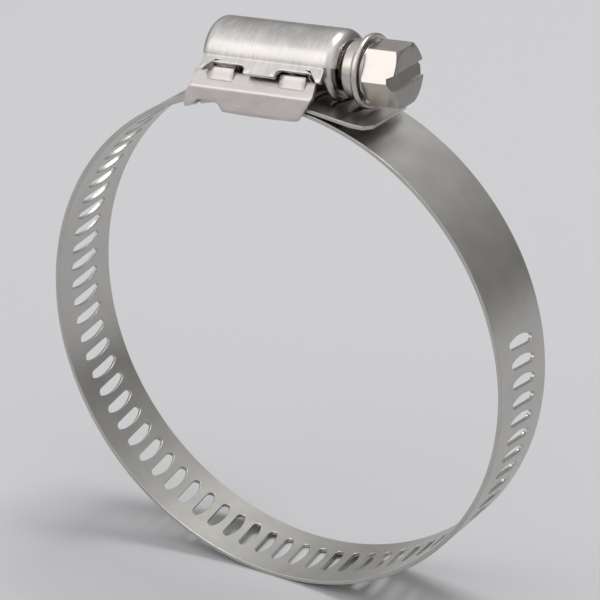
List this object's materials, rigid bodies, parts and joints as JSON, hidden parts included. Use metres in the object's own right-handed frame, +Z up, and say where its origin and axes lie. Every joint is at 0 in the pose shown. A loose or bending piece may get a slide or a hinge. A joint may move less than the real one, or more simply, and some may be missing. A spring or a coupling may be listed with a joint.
{
  "type": "hose clamp",
  "caption": "Worm-drive hose clamp: a slotted steel band bent into a ring, its tail drawn through a housing by a hex-head screw whose thread engages the slots.",
  "frame": {"origin": "centre of the round hose seat inside the ring, midway across the band", "axes": "+Y along the hose (the ring's axis), +Z up as the clamp stands on its edge with the housing near the top, +X to the right, roughly along the screw towards its head"},
  "size_m": [0.0734, 0.0154, 0.083],
  "materials": {
    "cover": "satin stainless sheet, faint marks across the screw axis",
    "saddle": "satin stainless sheet with bright sheared edges",
    "band": "mill-finish stainless strip, smooth with very fine lengthwise lines",
    "screw": "bright cold-headed stainless, slightly worn"
  },
  "bodies": {
    "housing": {"housing_cover": "cover", "saddle": "saddle", "band_fixed_end": "band"},
    "screw": {"worm_screw": "screw"},
    "tail": {"band_tail": "band"},
    "right_1": {"band_right_1": "band"},
    "right_2": {"band_right_2": "band"},
    "right_3": {"band_right_3": "band"},
    "right_4": {"band_right_4": "band"},
    "right_5": {"band_right_5": "band"},
    "right_6": {"band_right_6": "band"},
    "right_7": {"band_right_7": "band"},
    "left_1": {"band_left_1": "band"},
    "left_2": {"band_left_2": "band"},
    "left_3": {"band_left_3": "band"},
    "left_4": {"band_left_4": "band"},
    "left_5": {"band_left_5": "band"}
  },
  "joints": [
    {"name": "screw_turn", "type": "hinge", "parent": "housing", "child": "screw", "pos_m": [0.01478, 0, 0.04159], "axis": [-0.9969, 0, -0.0785], "range_deg": [0, 1800]},
    {"name": "tail_feed", "type": "hinge", "parent": "housing", "child": "tail", "pos_m": [-0.00003, 0, 0.00037], "axis": [0, 1, 0], "range_deg": [-0.01, 22.57]},
    {"name": "right_bend_1", "type": "hinge", "parent": "housing", "child": "right_1", "pos_m": [0.00967, 0, 0.03488], "axis": [0, 1, 0], "range_deg": [-0.01, 1.36]},
    {"name": "right_bend_2", "type": "hinge", "parent": "right_1", "child": "right_2", "pos_m": [0.02111, 0, 0.02941], "axis": [0, 1, 0], "range_deg": [-0.01, 2.02]},
    {"name": "right_bend_3", "type": "hinge", "parent": "right_2", "child": "right_3", "pos_m": [0.02996, 0, 0.02032], "axis": [0, 1, 0], "range_deg": [-0.01, 1.85]},
    {"name": "right_bend_4", "type": "hinge", "parent": "right_3", "child": "right_4", "pos_m": [0.03513, 0, 0.00874], "axis": [0, 1, 0], "range_deg": [-0.01, 1.96]},
    {"name": "right_bend_5", "type": "hinge", "parent": "right_4", "child": "right_5", "pos_m": [0.03522, 0, -0.00837], "axis": [0, 1, 0], "range_deg": [-0.01, 1.85]},
    {"name": "right_bend_6", "type": "hinge", "parent": "right_5", "child": "right_6", "pos_m": [0.02923, 0, -0.02136], "axis": [0, 1, 0], "range_deg": [-0.01, 1.73]},
    {"name": "right_bend_7", "type": "hinge", "parent": "right_6", "child": "right_7", "pos_m": [0.01615, 0, -0.0324], "axis": [0, 1, 0], "range_deg": [-0.01, 1.69]},
    {"name": "left_bend_1", "type": "hinge", "parent": "tail", "child": "left_1", "pos_m": [-0.03229, 0, 0.01761], "axis": [0, 1, 0], "range_deg": [-1.73, 0.01]},
    {"name": "left_bend_2", "type": "hinge", "parent": "left_1", "child": "left_2", "pos_m": [-0.0366, 0, 0.00104], "axis": [0, 1, 0], "range_deg": [-2.49, 0.01]},
    {"name": "left_bend_3", "type": "hinge", "parent": "left_2", "child": "left_3", "pos_m": [-0.03406, 0, -0.01304], "axis": [0, 1, 0], "range_deg": [-2.12, 0.01]},
    {"name": "left_bend_4", "type": "hinge", "parent": "left_3", "child": "left_4", "pos_m": [-0.02631, 0, -0.02507], "axis": [0, 1, 0], "range_deg": [-2.1, 0.01]},
    {"name": "left_bend_5", "type": "hinge", "parent": "left_4", "child": "left_5", "pos_m": [-0.01185, 0, -0.03424], "axis": [0, 1, 0], "range_deg": [-1.88, 0.01]}
  ],
  "couplings": [
    {"joint": "tail_feed", "follows": "screw_turn", "ratio": 0.012532},
    {"joint": "right_bend_1", "follows": "screw_turn", "ratio": 0.00074723},
    {"joint": "right_bend_2", "follows": "screw_turn", "ratio": 0.0011144},
    {"joint": "right_bend_3", "follows": "screw_turn", "ratio": 0.0010191},
    {"joint": "right_bend_4", "follows": "screw_turn", "ratio": 0.001078},
    {"joint": "right_bend_5", "follows": "screw_turn", "ratio": 0.0010177},
    {"joint": "right_bend_6", "follows": "screw_turn", "ratio": 0.00095291},
    {"joint": "right_bend_7", "follows": "screw_turn", "ratio": 0.00093156},
    {"joint": "left_bend_1", "follows": "screw_turn", "ratio": -0.00095442},
    {"joint": "left_bend_2", "follows": "screw_turn", "ratio": -0.0013732},
    {"joint": "left_bend_3", "follows": "screw_turn", "ratio": -0.0011706},
    {"joint": "left_bend_4", "follows": "screw_turn", "ratio": -0.0011587},
    {"joint": "left_bend_5", "follows": "screw_turn", "ratio": -0.0010363}
  ]
}
